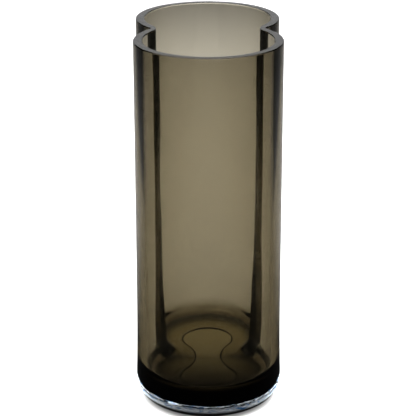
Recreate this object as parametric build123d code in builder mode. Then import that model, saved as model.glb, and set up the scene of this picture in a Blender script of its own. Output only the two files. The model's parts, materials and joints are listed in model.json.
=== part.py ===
from build123d import *
import os

# A two-lobed glass vase: two round columns grown into one another, hollow, on a thick rounded
# base with a shallow recess under it. The outside creases where the lobes meet run up both sides.
#
# Frame: millimetres, +Z up. The origin is the middle of the foot, on the surface that the vase
# stands on. The lobes stand one in front of the other along Y, so the creases face +X and -X.
#
# The real vase is one piece of glass. It is kept here as the three zones that a glassmaker names,
# which meet face to face: the base, and the front and the rear half of the wall.

# Overall size
HEIGHT = 300.0  # foot to rim
LOBE_RADIUS = 58.3  # outside of a lobe, where the wall is straight
LOBE_SPACING = 73.0  # from one lobe's axis to the other's
FLARE = 1.6  # how much further out the wall would stand at the foot
FLARE_HEIGHT = 80.0  # where the flare has run out

# Thickness of the glass
WALL = 7.0  # at the straight part of a lobe
BASE_THICKNESS = 22.0  # under the inside floor

# Roundings
HEEL_RADIUS = 17.0  # outside, between the wall and the foot
COVE_RADIUS = 12.0  # inside, between the floor and the wall
CREASE_RADIUS = 1.0  # along the bottom of each outside crease
RIDGE_RADIUS = 19.0  # along the crest of each inside ridge, where the wall is straight
RIDGE_FOOT_RADIUS = 3.0  # along the same crest near the floor
RIDGE_FOOT_LENGTH = 3.0  # from the top of the cove to where the crest starts to open out
RIDGE_HEIGHT = 155.0  # the crest has opened out to its full radius here
RIM_ROUNDING = 0.8  # both edges of the cut and polished rim

# Recess under the base, which leaves a broad ring to stand on
RECESS_INSET = 35.0  # from the outline of the straight wall to the edge of the recess
RECESS_DEPTH = 2.0
RECESS_ROUNDING = 0.8  # both edges of the recess

LOBE_PLACES = [(0, -LOBE_SPACING / 2), (0, LOBE_SPACING / 2)]
BASE_TOP = BASE_THICKNESS + COVE_RADIUS  # the cove ends here and the plain wall starts
SIDE_PLANE_TOLERANCE = 0.01  # an edge within this of Y = 0 runs along a crease


def inner_outline(ridge_radius):
    """The outline of the hollow, with its two ridges rounded to the given radius."""
    with BuildSketch(mode=Mode.PRIVATE) as outline:
        with Locations(*LOBE_PLACES):
            Circle(LOBE_RADIUS - WALL + ridge_radius)
        offset(amount=-ridge_radius, kind=Kind.ARC)
    return outline.sketch


# Outside of the glass: each lobe is turned about its own axis, flared slightly towards the foot
with BuildPart() as vase:
    for x, y in LOBE_PLACES:
        with BuildSketch(Plane(origin=(x, y, 0), x_dir=(1, 0, 0), z_dir=(0, -1, 0))):
            with BuildLine():
                straight_wall = Line((LOBE_RADIUS, HEIGHT), (LOBE_RADIUS, FLARE_HEIGHT))
                flare = TangentArc(straight_wall @ 1, (LOBE_RADIUS + FLARE, 0), tangent=(0, -1))
                Polyline(flare @ 1, (0, 0), (0, HEIGHT), straight_wall @ 0)
            make_face()
        revolve(axis=Axis((x, y, 0), (0, 0, 1)))

    side_edges = vase.edges().filter_by_position(Axis.Y, -SIDE_PLANE_TOLERANCE, SIDE_PLANE_TOLERANCE)
    fillet(side_edges, CREASE_RADIUS)
    fillet(vase.edges().group_by(Axis.Z)[0], HEEL_RADIUS)

# Inside of the vase: from the floor to the top of the cove, then up to where the ridges have
# opened out, then straight to the rim
with BuildPart() as hollow:
    with BuildSketch(Plane.XY.offset(BASE_THICKNESS)):
        add(inner_outline(RIDGE_FOOT_RADIUS))
    extrude(amount=COVE_RADIUS + RIDGE_FOOT_LENGTH)
    fillet(hollow.edges().group_by(Axis.Z)[0], COVE_RADIUS)
    with BuildSketch(Plane.XY.offset(BASE_TOP + RIDGE_FOOT_LENGTH)):
        add(inner_outline(RIDGE_FOOT_RADIUS))
    with BuildSketch(Plane.XY.offset(RIDGE_HEIGHT)):
        add(inner_outline(RIDGE_RADIUS))
    loft(ruled=True)
    with BuildSketch(Plane.XY.offset(RIDGE_HEIGHT)):
        add(inner_outline(RIDGE_RADIUS))
    extrude(amount=HEIGHT - RIDGE_HEIGHT)

# Recess under the base: the outline of the wall, moved inwards
with BuildPart() as recess:
    with BuildSketch():
        with Locations(*LOBE_PLACES):
            Circle(LOBE_RADIUS)
        offset(amount=-RECESS_INSET, kind=Kind.ARC)
    extrude(amount=RECESS_DEPTH)
    fillet(recess.edges().group_by(Axis.Z)[-1], RECESS_ROUNDING)

with BuildPart() as glass:
    add(vase.part)
    add(hollow.part, mode=Mode.SUBTRACT)
    add(recess.part, mode=Mode.SUBTRACT)
    fillet(glass.edges().group_by(Axis.Z)[-1], RIM_ROUNDING)
    standing_ring = glass.faces().filter_by(Plane.XY).sort_by(Axis.Z)[0]
    fillet(standing_ring.inner_wires().edges(), RECESS_ROUNDING)

# The zones of the one piece of glass
with BuildPart() as base:
    add(glass.part)
    split(bisect_by=Plane.XY.offset(BASE_TOP), keep=Keep.BOTTOM)

with BuildPart() as wall:
    add(glass.part)
    split(bisect_by=Plane.XY.offset(BASE_TOP), keep=Keep.TOP)

with BuildPart() as front_wall:
    add(wall.part)
    split(bisect_by=Plane.XZ, keep=Keep.TOP)

with BuildPart() as rear_wall:
    add(wall.part)
    split(bisect_by=Plane.XZ, keep=Keep.BOTTOM)

os.makedirs("parts", exist_ok=True)
base.part.label = "base"
export_step(base.part, "parts/base.step")
front_wall.part.label = "front_wall"
export_step(front_wall.part, "parts/front_wall.step")
rear_wall.part.label = "rear_wall"
export_step(rear_wall.part, "parts/rear_wall.step")
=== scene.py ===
import json
import math

import bmesh
import bpy
from bpy.props import FloatProperty, FloatVectorProperty, IntProperty, PointerProperty
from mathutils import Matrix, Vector

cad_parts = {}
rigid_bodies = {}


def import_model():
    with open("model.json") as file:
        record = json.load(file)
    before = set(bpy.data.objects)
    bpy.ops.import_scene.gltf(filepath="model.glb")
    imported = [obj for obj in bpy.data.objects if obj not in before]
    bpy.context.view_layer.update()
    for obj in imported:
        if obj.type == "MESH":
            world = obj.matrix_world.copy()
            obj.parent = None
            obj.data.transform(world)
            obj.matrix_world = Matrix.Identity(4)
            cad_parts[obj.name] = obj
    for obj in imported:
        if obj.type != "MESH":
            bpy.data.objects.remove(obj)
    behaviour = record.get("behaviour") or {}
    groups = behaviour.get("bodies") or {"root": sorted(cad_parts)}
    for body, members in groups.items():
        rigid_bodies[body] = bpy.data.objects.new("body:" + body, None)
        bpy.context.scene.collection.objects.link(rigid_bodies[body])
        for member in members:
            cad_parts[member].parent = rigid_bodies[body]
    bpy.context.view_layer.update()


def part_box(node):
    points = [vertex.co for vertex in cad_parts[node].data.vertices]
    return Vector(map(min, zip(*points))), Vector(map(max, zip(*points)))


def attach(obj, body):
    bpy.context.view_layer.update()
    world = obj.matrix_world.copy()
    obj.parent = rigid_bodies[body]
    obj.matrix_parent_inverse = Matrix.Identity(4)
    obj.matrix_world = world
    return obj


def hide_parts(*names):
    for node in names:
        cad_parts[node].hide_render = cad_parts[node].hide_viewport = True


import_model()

wall_low, wall_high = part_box("front_wall")

bl_info = {
    "name": "Two-lobed glass vase",
    "version": (1, 0, 0),
    "blender": (4, 5, 0),
    "location": "View3D > Sidebar > Vase",
    "description": "Models a smoked glass vase of two joined round lobes, and its stage",
    "category": "Object",
}

MM = 0.001
FLARE = 1.6 * MM
FLARE_HEIGHT = 80 * MM
FLARE_AT_WALL_FOOT = FLARE * (1 - wall_low.z / FLARE_HEIGHT) ** 2
LOBE_RADIUS = wall_high.x - FLARE_AT_WALL_FOOT
LOBE_SPACING = 2 * (-wall_low.y - wall_high.x)
Z_AXIS = (0, 0, 1)
CLOSE = 1e-6
AIR_GAP = 0.2 * MM
SMOOTH_ANGLE = math.radians(35)
SHARP_ANGLE = math.radians(45)
RIDGE_STEPS = 8
FLARE_STEPS = 8

# colour of the painted shade on the floor
PAINTED_SHADE_BLACK = (0.01, 0.01, 0.01, 1)
# colour of the painted dark reflection of the floor in the glass
PAINTED_DARK_REFLECTION = (0.02, 0.02, 0.02, 1)
# tints and place of the painted glints in the heel
GLINT_WHITE = (0.9, 0.96, 1, 1)
GLINT_BLUE = (0.15, 0.4, 0.8, 1)
GLINT_X = -0.046
GLINT_Y = -0.097


# ---------------------------------------------------------------- sizes and colours

class VaseSizes(bpy.types.PropertyGroup):
    """Sizes and finish of the glass."""

    height: FloatProperty(
        name="Height", description="Foot to rim", default=wall_high.z, unit="LENGTH")
    lobe_radius: FloatProperty(
        name="Lobe radius", description="Outside of a lobe, where the wall is straight",
        default=LOBE_RADIUS, unit="LENGTH")
    lobe_spacing: FloatProperty(
        name="Lobe spacing", description="Between the axes of the two lobes",
        default=LOBE_SPACING, unit="LENGTH")
    flare: FloatProperty(
        name="Flare", description="How much further out the wall would stand at the foot",
        default=FLARE, unit="LENGTH")
    flare_height: FloatProperty(
        name="Flare height", description="Where the flare has run out",
        default=FLARE_HEIGHT, unit="LENGTH")
    wall: FloatProperty(
        name="Wall", description="Thickness of the straight wall", default=7 * MM, unit="LENGTH")
    base_thickness: FloatProperty(
        name="Base", description="Solid glass under the inside floor", default=22 * MM,
        unit="LENGTH")
    heel_radius: FloatProperty(
        name="Heel radius", description="Outside rounding between the wall and the foot",
        default=17 * MM, unit="LENGTH")
    cove_radius: FloatProperty(
        name="Cove radius", description="Inside rounding between the floor and the wall",
        default=12 * MM, unit="LENGTH")
    crease_radius: FloatProperty(
        name="Crease radius", description="Along the bottom of each outside crease",
        default=1 * MM, unit="LENGTH")
    ridge_radius: FloatProperty(
        name="Ridge radius", description="Along the crest of each inside ridge, higher up",
        default=19 * MM, unit="LENGTH")
    ridge_foot_radius: FloatProperty(
        name="Ridge foot radius", description="Along the same crest near the floor",
        default=3 * MM, unit="LENGTH")
    ridge_foot: FloatProperty(
        name="Ridge foot", description="Where the crest starts to open out", default=37 * MM,
        unit="LENGTH")
    ridge_top: FloatProperty(
        name="Ridge top", description="Where the crest has opened out", default=155 * MM,
        unit="LENGTH")
    rim_rounding: FloatProperty(
        name="Rim rounding", description="Both edges of the cut rim", default=0.8 * MM,
        unit="LENGTH")
    recess_inset: FloatProperty(
        name="Recess inset", description="From the outline of the wall to the recess underneath",
        default=35 * MM, unit="LENGTH")
    recess_depth: FloatProperty(
        name="Recess depth", description="Depth of the recess underneath", default=2 * MM,
        unit="LENGTH")
    recess_rounding: FloatProperty(
        name="Recess rounding", description="Both edges of the recess", default=0.8 * MM,
        unit="LENGTH")
    rim_roughness: FloatProperty(
        name="Rim roughness", description="How dull the cut rim is", default=0.15, min=0, max=1)
    wave_depth: FloatProperty(
        name="Wave depth", description="Height of the soft waves in the glass",
        default=0.25 * MM, unit="LENGTH", precision=5)
    lobe_steps: IntProperty(
        name="Lobe steps", description="Straight steps round each lobe", default=200, min=24)
    crease_steps: IntProperty(
        name="Crease steps", description="Straight steps round each crease", default=10, min=2)
    glass_colour: FloatVectorProperty(
        name="Glass", description="What the smoked glass lets through", subtype="COLOR",
        default=(0.438, 0.380, 0.220), min=0, max=1)
    glass_density: FloatProperty(
        name="Density", description="How fast the smoked glass takes light, per metre",
        default=165, min=0)


class StageSizes(bpy.types.PropertyGroup):
    """Camera, floor and lights."""

    azimuth: FloatProperty(
        name="Azimuth", description="Camera angle round the vase", default=math.radians(-0.63),
        subtype="ANGLE")
    elevation: FloatProperty(
        name="Elevation", description="Camera angle above the horizon",
        default=math.radians(20.2), subtype="ANGLE")
    distance: FloatProperty(
        name="Distance", description="Camera to the middle of the vase", default=1.339,
        unit="LENGTH")
    target_height: FloatProperty(
        name="Target height", description="Height that the camera looks at", default=0.1484,
        unit="LENGTH")
    lens: FloatProperty(
        name="Lens", description="Focal length in millimetres", default=140.8, min=1)
    floor_size: FloatProperty(
        name="Floor", description="Side of the floor", default=8, unit="LENGTH")
    floor_colour: FloatVectorProperty(
        name="Floor", description="Colour of the floor", subtype="COLOR",
        default=(0.8, 0.8, 0.8), min=0, max=1)
    room_light: FloatProperty(
        name="Room light", description="Brightness all round", default=0.015, min=0)
    backdrop_light: FloatProperty(
        name="Backdrop light", description="Brightness of the low walls before and behind",
        default=0.9, min=0)
    # painted light: the floor glows with this under the vase and close to the heel
    glint_light: FloatProperty(
        name="Glint light", description="Light that gathers on the floor close to the heel",
        default=3.6, min=0)
    # painted light: the floor glows with this where it is looked at straight
    fill_light: FloatProperty(
        name="Fill light", description="Even light on the floor and the room where they are "
        "looked at straight", default=0.75, min=0)
    softbox_back: FloatProperty(
        name="Softbox back", description="From the vase back to under the softbox", default=0.56,
        unit="LENGTH")
    softbox_height: FloatProperty(
        name="Softbox height", description="Floor to softbox", default=1.15, unit="LENGTH")
    softbox_width: FloatProperty(
        name="Softbox width", description="Side to side", default=1.3, unit="LENGTH")
    softbox_depth: FloatProperty(
        name="Softbox depth", description="Front to back", default=1.35, unit="LENGTH")
    softbox_power: FloatProperty(
        name="Softbox power", description="In watts", default=12.2, min=0)
    softbox_spread: FloatProperty(
        name="Softbox spread", description="How wide the softbox shines",
        default=math.radians(88), subtype="ANGLE")


# ---------------------------------------------------------------- mesh helpers

def select_edges(obj, test, sharp=None):
    """In edit mode, leave only the edges selected whose two ends pass the test."""
    bpy.ops.mesh.select_all(action="DESELECT")
    bpy.ops.mesh.select_mode(type="EDGE")
    mesh = bmesh.from_edit_mesh(obj.data)
    chosen = [
        edge for edge in mesh.edges
        if test(edge.verts[0].co) and test(edge.verts[1].co)
        and (sharp is None or edge.calc_face_angle(0) > sharp)
    ]
    for edge in chosen:
        edge.select = True
    bmesh.update_edit_mesh(obj.data)
    if not chosen:
        raise RuntimeError("no edge to work on")


def select_faces(obj, test):
    """In edit mode, leave only the faces selected whose corners all pass the test."""
    bpy.ops.mesh.select_all(action="DESELECT")
    bpy.ops.mesh.select_mode(type="FACE")
    mesh = bmesh.from_edit_mesh(obj.data)
    chosen = [face for face in mesh.faces if all(test(corner.co) for corner in face.verts)]
    for face in chosen:
        face.select = True
    bmesh.update_edit_mesh(obj.data)
    if not chosen:
        raise RuntimeError("no face to work on")


def at_height(height):
    """A test for points that lie at one height."""
    return lambda point: abs(point.z - height) < CLOSE


def start_point(place):
    """In edit mode, add a single selected vertex."""
    bpy.ops.mesh.select_all(action="DESELECT")
    bpy.ops.mesh.select_mode(type="VERT")
    bpy.ops.mesh.primitive_plane_add(size=MM, location=place)
    bpy.ops.mesh.merge(type="CENTER")


def draw_outline(sizes, height, radius, corner):
    """In edit mode, draw a closed outline of both lobes, with the corners between them rounded."""
    half = sizes.lobe_spacing / 2
    corner_x = math.sqrt((radius + corner) ** 2 - half ** 2)
    lean = math.atan2(half, corner_x)
    lobe_turn = math.pi + 2 * lean
    start_point((radius * math.cos(lean), radius * math.sin(lean) - half, height))
    for steps, turn, centre in (
        (sizes.lobe_steps, lobe_turn, (0, -half, height)),
        (sizes.crease_steps, -2 * lean, (-corner_x, 0, height)),
        (sizes.lobe_steps, lobe_turn, (0, half, height)),
        (sizes.crease_steps, -2 * lean, (corner_x, 0, height)),
    ):
        bpy.ops.mesh.spin(steps=steps, angle=turn, center=centre, axis=Z_AXIS)
    bpy.ops.mesh.select_linked()
    bpy.ops.mesh.remove_doubles(threshold=MM / 100)


def round_selected(amount, segments):
    """In edit mode, round the selected edges."""
    bpy.ops.mesh.bevel(offset=amount, offset_type="OFFSET", segments=segments, profile=0.5,
                       affect="EDGES", clamp_overlap=False)


# ---------------------------------------------------------------- operators

class VASE_OT_glass(bpy.types.Operator):
    """Model the vase as one closed skin of glass"""

    bl_idname = "vase.glass"
    bl_label = "Glass"

    def execute(self, context):
        s = context.scene.vase_sizes
        bpy.ops.object.select_all(action="DESELECT")
        bpy.ops.mesh.primitive_plane_add(size=MM)
        obj = context.object
        obj.name = obj.data.name = "vase_glass"
        bpy.ops.object.mode_set(mode="EDIT")
        bpy.ops.mesh.delete(type="VERT")
        self.inside(obj, s)
        bpy.ops.mesh.hide(unselected=False)
        self.outside(obj, s)
        bpy.ops.mesh.reveal(select=False)
        self.rim(obj, s)
        self.roundings(obj, s)
        self.recess(obj, s)
        bpy.ops.mesh.select_all(action="SELECT")
        bpy.ops.mesh.normals_make_consistent(inside=False)
        bpy.ops.object.mode_set(mode="OBJECT")
        bpy.ops.object.shade_smooth_by_angle(angle=SMOOTH_ANGLE)
        flat = obj.modifiers.new("flat_faces", "WEIGHTED_NORMAL")
        flat.keep_sharp = True
        bpy.ops.object.modifier_apply(modifier=flat.name)
        obj.data.materials.append(smoked_glass(s))
        obj.visible_shadow = False
        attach(obj, "root")
        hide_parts("base", "front_wall", "rear_wall")
        return {"FINISHED"}

    def inside(self, obj, s):
        """Draw the outlines of the hollow, from its floor to above the rim, and join them."""
        radius = s.lobe_radius - s.wall
        draw_outline(s, s.base_thickness, radius, s.ridge_foot_radius)
        rise = s.ridge_top - s.ridge_foot
        for step in range(RIDGE_STEPS + 1):
            share = step / RIDGE_STEPS
            corner = s.ridge_foot_radius + (s.ridge_radius - s.ridge_foot_radius) * share ** 0.8
            draw_outline(s, s.ridge_foot + rise * share, radius, corner)
        draw_outline(s, s.height + s.wall, radius, s.ridge_radius)
        bpy.ops.mesh.select_all(action="SELECT")
        bpy.ops.mesh.bridge_edge_loops()
        select_edges(obj, at_height(s.base_thickness))
        bpy.ops.mesh.edge_face_add()
        bpy.ops.mesh.select_all(action="SELECT")

    def outside(self, obj, s):
        """Draw the outlines from the foot to the rim, join them and close the foot. The heel
        rounding takes up the first step of the flare, so no outline is drawn there."""
        for step in (0, *range(2, FLARE_STEPS + 1)):
            share = step / FLARE_STEPS
            swell = s.flare * (1 - share) ** 2
            draw_outline(s, s.flare_height * share, s.lobe_radius + swell, s.crease_radius)
        draw_outline(s, s.height, s.lobe_radius, s.crease_radius)
        bpy.ops.mesh.select_all(action="SELECT")
        bpy.ops.mesh.bridge_edge_loops()
        select_edges(obj, at_height(0))
        bpy.ops.mesh.edge_face_add()

    def rim(self, obj, s):
        """Join the outside to the raised top of the hollow, and bring that down to the rim."""
        select_edges(obj, lambda point: point.z > s.height - CLOSE)
        bpy.ops.mesh.bridge_edge_loops()
        select_edges(obj, at_height(s.height + s.wall))
        bpy.ops.transform.translate(value=(0, 0, -s.wall))
        bpy.ops.mesh.select_all(action="SELECT")
        bpy.ops.mesh.normals_make_consistent(inside=False)

    def roundings(self, obj, s):
        """Round the heel, the cove and both edges of the rim."""
        for height, amount, segments in (
            (0, s.heel_radius, 18),
            (s.base_thickness, s.cove_radius, 14),
            (s.height, s.rim_rounding, 4),
        ):
            select_edges(obj, at_height(height), SHARP_ANGLE)
            round_selected(amount, segments)

    def recess(self, obj, s):
        """Sink the recess into the underside."""
        select_faces(obj, at_height(0))
        bpy.ops.mesh.inset(thickness=s.recess_inset + s.flare - s.heel_radius)
        bpy.ops.mesh.extrude_region_move(TRANSFORM_OT_translate={"value": (0, 0, s.recess_depth)})
        for height in (0, s.recess_depth):
            select_edges(obj, at_height(height), SHARP_ANGLE)
            round_selected(s.recess_rounding, 4)


class VASE_OT_stage(bpy.types.Operator):
    """Set up the floor, the light and the camera"""

    bl_idname = "vase.stage"
    bl_label = "Stage"

    def execute(self, context):
        s = context.scene.stage_sizes
        scene = context.scene
        bpy.ops.object.select_all(action="DESELECT")
        bpy.ops.mesh.primitive_plane_add(size=s.floor_size, location=(0, 0, -AIR_GAP))
        floor = context.object
        floor.name = floor.data.name = "floor"
        floor.data.materials.append(floor_paint(s))

        world = bpy.data.worlds.new("room")
        scene.world = world
        world.use_nodes = True
        light_the_room(world.node_tree, s)
        scene.view_settings.view_transform = "Standard"
        scene.view_settings.gamma = 0.8

        bpy.ops.object.light_add(type="AREA", location=(0, s.softbox_back, s.softbox_height))
        light = context.object
        light.name = light.data.name = "top_softbox"
        light.data.shape = "RECTANGLE"
        light.data.size = s.softbox_width
        light.data.size_y = s.softbox_depth
        light.data.energy = s.softbox_power
        light.data.spread = s.softbox_spread
        light.rotation_euler = (0, 0, -math.pi)
        light.visible_camera = False
        light.visible_glossy = False

        bpy.ops.object.camera_add()
        camera = context.object
        camera.name = "camera"
        camera.data.lens = s.lens
        camera.data.sensor_width = 36
        back = Vector((
            math.sin(s.azimuth) * math.cos(s.elevation),
            -math.cos(s.azimuth) * math.cos(s.elevation),
            math.sin(s.elevation),
        ))
        camera.location = Vector((0, 0, s.target_height)) + back * s.distance
        camera.rotation_euler = (-back).to_track_quat("-Z", "Y").to_euler()
        scene.camera = camera
        return {"FINISHED"}


# ---------------------------------------------------------------- materials

class Link:
    """A shader socket. Arithmetic on it adds Math nodes, and node() adds any other node."""

    def __init__(self, tree, socket=None):
        self.tree = tree
        self.socket = socket

    def node(self, kind, settings=None, inputs=None, output=0):
        """Add a node: its settings first, then a value or a link for each socket named."""
        new = self.tree.nodes.new(kind)
        for name, value in (settings or {}).items():
            setattr(new, name, value)
        for name, value in (inputs or {}).items():
            if isinstance(value, Link):
                self.tree.links.new(value.socket, new.inputs[name])
            else:
                new.inputs[name].default_value = value
        return Link(self.tree, new.outputs[output])

    def feed(self, shader, name):
        """Connect to a socket of a node that is already there."""
        self.tree.links.new(self.socket, shader.inputs[name])

    def maths(self, operation, *values):
        return self.node("ShaderNodeMath", {"operation": operation}, dict(enumerate(values)))

    def rise(self, start, end):
        """Go smoothly from 0 at start to 1 at end."""
        return self.node("ShaderNodeMapRange", {"interpolation_type": "SMOOTHSTEP"},
                         {"Value": self, "From Min": start, "From Max": end})

    def __add__(self, other):
        return self.maths("ADD", self, other)

    def __sub__(self, other):
        return self.maths("SUBTRACT", self, other)

    def __rsub__(self, other):
        return self.maths("SUBTRACT", other, self)

    def __mul__(self, other):
        return self.maths("MULTIPLY", self, other)

    def __pow__(self, other):
        return self.maths("POWER", self, other)

    def __abs__(self):
        return self.maths("ABSOLUTE", self)

    __radd__ = __add__
    __rmul__ = __mul__


def coordinates(tree, kind):
    """The x, y and z of the coordinates, as three links, and the vector itself."""
    start = Link(tree)
    place = start.node("ShaderNodeTexCoord", output=kind)
    parts = [start.node("ShaderNodeSeparateXYZ", inputs={"Vector": place}, output=axis)
             for axis in "XYZ"]
    return (*parts, place)


def mixed(start, factor, first, second):
    """A colour between two others."""
    return start.node("ShaderNodeMix", {"data_type": "RGBA"},
                      {0: factor, 6: first, 7: second}, output=2)


def new_material(name):
    """A material with its shader tree and its main shader."""
    mat = bpy.data.materials.new(name)
    mat.use_nodes = True
    return mat, mat.node_tree, mat.node_tree.nodes["Principled BSDF"]


def smoked_glass(s):
    """Clear glass that takes light evenly as it passes, with soft vertical waves from the mould
    and a cut rim, polished a little less brightly than the rest."""
    mat, tree, shader = new_material("smoked_glass")
    shader.inputs["Base Color"].default_value = (1, 1, 1, 1)
    shader.inputs["IOR"].default_value = 1.5
    shader.inputs["Transmission Weight"].default_value = 1
    volume = tree.nodes.new("ShaderNodeVolumeAbsorption")
    volume.inputs["Color"].default_value = (*s.glass_colour, 1)
    volume.inputs["Density"].default_value = s.glass_density
    tree.links.new(volume.outputs["Volume"], tree.nodes["Material Output"].inputs["Volume"])

    x, y, z, place = coordinates(tree, "Object")
    on_rim = z.rise(s.height - s.rim_rounding / 4, s.height - s.rim_rounding / 20)
    scuffs = place.node("ShaderNodeTexNoise", inputs={"Vector": place, "Scale": 900, "Detail": 3})
    (on_rim * (s.rim_roughness * 0.7 + s.rim_roughness * 0.6 * scuffs)).feed(shader, "Roughness")

    stretched = place.node("ShaderNodeMapping", inputs={"Vector": place, "Scale": (1, 1, 0.22)})
    waves = place.node("ShaderNodeTexNoise",
                       inputs={"Vector": stretched, "Scale": 45, "Detail": 1, "Roughness": 0.4})
    place.node("ShaderNodeBump", inputs={"Height": waves, "Strength": 1.0,
                                         "Distance": s.wave_depth}).feed(shader, "Normal")
    return mat


def light_path(start, output):
    """One output of the Light Path node, which says what kind of ray meets the surface."""
    return start.node("ShaderNodeLightPath", output=output)


def floor_paint(s):
    """Matt pale floor, with a soft mottle. Painted shade darkens it far out to the sides and in a
    contact shadow under the vase, and mirrored in the glass it is painted dark in front of the
    vase too, a painted dark reflection. It glows with painted light where it is looked at
    straight, under the vase and close to the heel."""
    mat, tree, shader = new_material("floor_paint")
    shader.inputs["Roughness"].default_value = 0.9
    x, y, z, place = coordinates(tree, "Object")
    vase = bpy.context.scene.vase_sizes
    reach = (x ** 2 + (abs(y) - vase.lobe_spacing / 2) ** 2) ** 0.5 - vase.lobe_radius
    mirrored = light_path(place, "Is Reflection Ray")
    seen = light_path(place, "Is Camera Ray")
    turned = place.maths("GREATER_THAN", light_path(place, "Glossy Depth"), 0.5)

    mottle = place.node("ShaderNodeTexNoise", inputs={"Vector": place, "Scale": 2.5, "Detail": 2})
    pale = mixed(place, mottle, (*[c * 0.98 for c in s.floor_colour], 1), (*s.floor_colour, 1))
    # painted dark reflection: mirrored in the glass, the floor is near black in front of the vase
    # and half pale behind it
    behind = y.rise(0, 0.3) * 0.5
    painted_dark_reflection = mixed(place, behind, PAINTED_DARK_REFLECTION, (*s.floor_colour, 1))
    # painted shade: a contact shadow round the foot, and for rays not from the camera a dark floor
    # far out to the sides
    painted_contact_shadow = reach.rise(0.002, -0.01) * 0.85
    painted_dark_sides = (abs(x) + 0.35 * turned).rise(0.7, 0.85) * (1 - seen)
    shaded = mixed(place, place.maths("MAXIMUM", painted_contact_shadow, painted_dark_sides), pale, PAINTED_SHADE_BLACK)
    mixed(place, mirrored, shaded, painted_dark_reflection).feed(shader, "Base Color")

    # painted light: the floor glows evenly where looked at straight, and where seen straight
    # through the glass out to the sides and in front, with the painted contact shadow cut out
    fill_glow_aside = place.maths("MAXIMUM", abs(x).rise(0.5, 1), y.rise(-0.05, -0.4))
    painted_fill_glow = direct_view(place, fill_glow_aside) * (1 - painted_contact_shadow)
    mixed(place, painted_fill_glow, painted_gathered_light(s, x, y, place, reach, mirrored),
          (s.fill_light, s.fill_light, s.fill_light, 1)).feed(shader, "Emission Color")
    shader.inputs["Emission Strength"].default_value = 1
    return mat


def painted_gathered_light(s, x, y, place, reach, mirrored):
    """Painted light on the floor, standing for the light that the glass gathers there: a glow
    under the vase, and close to the heel painted glints broken into streaks, which show only as a
    painted reflection in the glass just above it."""
    ripple = place.node("ShaderNodeTexNoise",
                        inputs={"Vector": place, "Scale": 110, "Detail": 4, "Distortion": 1.2})
    # painted glints in the heel: a streaky band, a bright line and one glint on the left, seen
    # only mirrored in the glass just above
    edge = reach + (ripple - 0.5) * 0.032
    painted_heel_band = edge.rise(0.0125, 0.0105) * reach.rise(-0.004, 0.004) * (0.2 + 2 * ripple)
    painted_heel_line = edge.rise(0.0145, 0.0160) * edge.rise(0.0220, 0.0205) * 3
    painted_glint_spot = (x - GLINT_X) ** 2 + (y - GLINT_Y) ** 2 + ripple * 0.00004
    glint = painted_glint_spot.rise(0.00009, 0.00006) * 4
    just_above = light_path(place, "Ray Length").rise(0.05, 0.03)
    painted_heel_glow = (painted_heel_band + painted_heel_line + glint) * just_above * mirrored
    # painted glow under the vase, seen through the base, brighter towards the back
    painted_glow_under_vase = reach.rise(-0.008, -0.028) * y.rise(-0.055, 0.045)
    glint_white_share = place.maths("MAXIMUM", ripple.rise(0.36, 0.48), 1 - mirrored)
    return place.node("ShaderNodeVectorMath", {"operation": "SCALE"},
                      {"Vector": mixed(place, glint_white_share, GLINT_BLUE, GLINT_WHITE),
                       "Scale": (painted_heel_glow + painted_glow_under_vase) * s.glint_light})


def direct_view(start, share):
    """1 where the camera looks straight at a surface, and a share of that where it looks through
    clear glass with no mirroring on the way."""
    unturned = start.maths("LESS_THAN", light_path(start, "Glossy Depth"), 0.5)
    through = light_path(start, "Is Transmission Ray") * unturned
    return light_path(start, "Is Camera Ray") + through * share


def light_the_room(tree, s):
    """A dim room with bright low walls before and behind the vase, and pale where it is looked
    at straight."""
    x, y, z, place = coordinates(tree, "Generated")
    wall = z.rise(0.5, 0.25) * abs(x).rise(0.7, 0.25)
    brightness = s.backdrop_light * wall + s.room_light + direct_view(place, 1) * s.fill_light
    brightness.feed(tree.nodes["Background"], "Color")


class VASE_PT_panel(bpy.types.Panel):
    """Lists the steps of the vase"""

    bl_idname = "VASE_PT_panel"
    bl_label = "Vase"
    bl_space_type = "VIEW_3D"
    bl_region_type = "UI"
    bl_category = "Vase"

    def draw(self, context):
        for step in STEPS:
            self.layout.operator(step)


CLASSES = (VaseSizes, StageSizes, VASE_OT_glass, VASE_OT_stage, VASE_PT_panel)
STEPS = ("vase.glass", "vase.stage")


def register():
    for cls in CLASSES:
        bpy.utils.register_class(cls)
    bpy.types.Scene.vase_sizes = PointerProperty(type=VaseSizes)
    bpy.types.Scene.stage_sizes = PointerProperty(type=StageSizes)


def unregister():
    del bpy.types.Scene.stage_sizes
    del bpy.types.Scene.vase_sizes
    for cls in reversed(CLASSES):
        bpy.utils.unregister_class(cls)


def main():
    register()
    bpy.ops.vase.glass()
    bpy.ops.vase.stage()


if __name__ == "__main__":
    main()
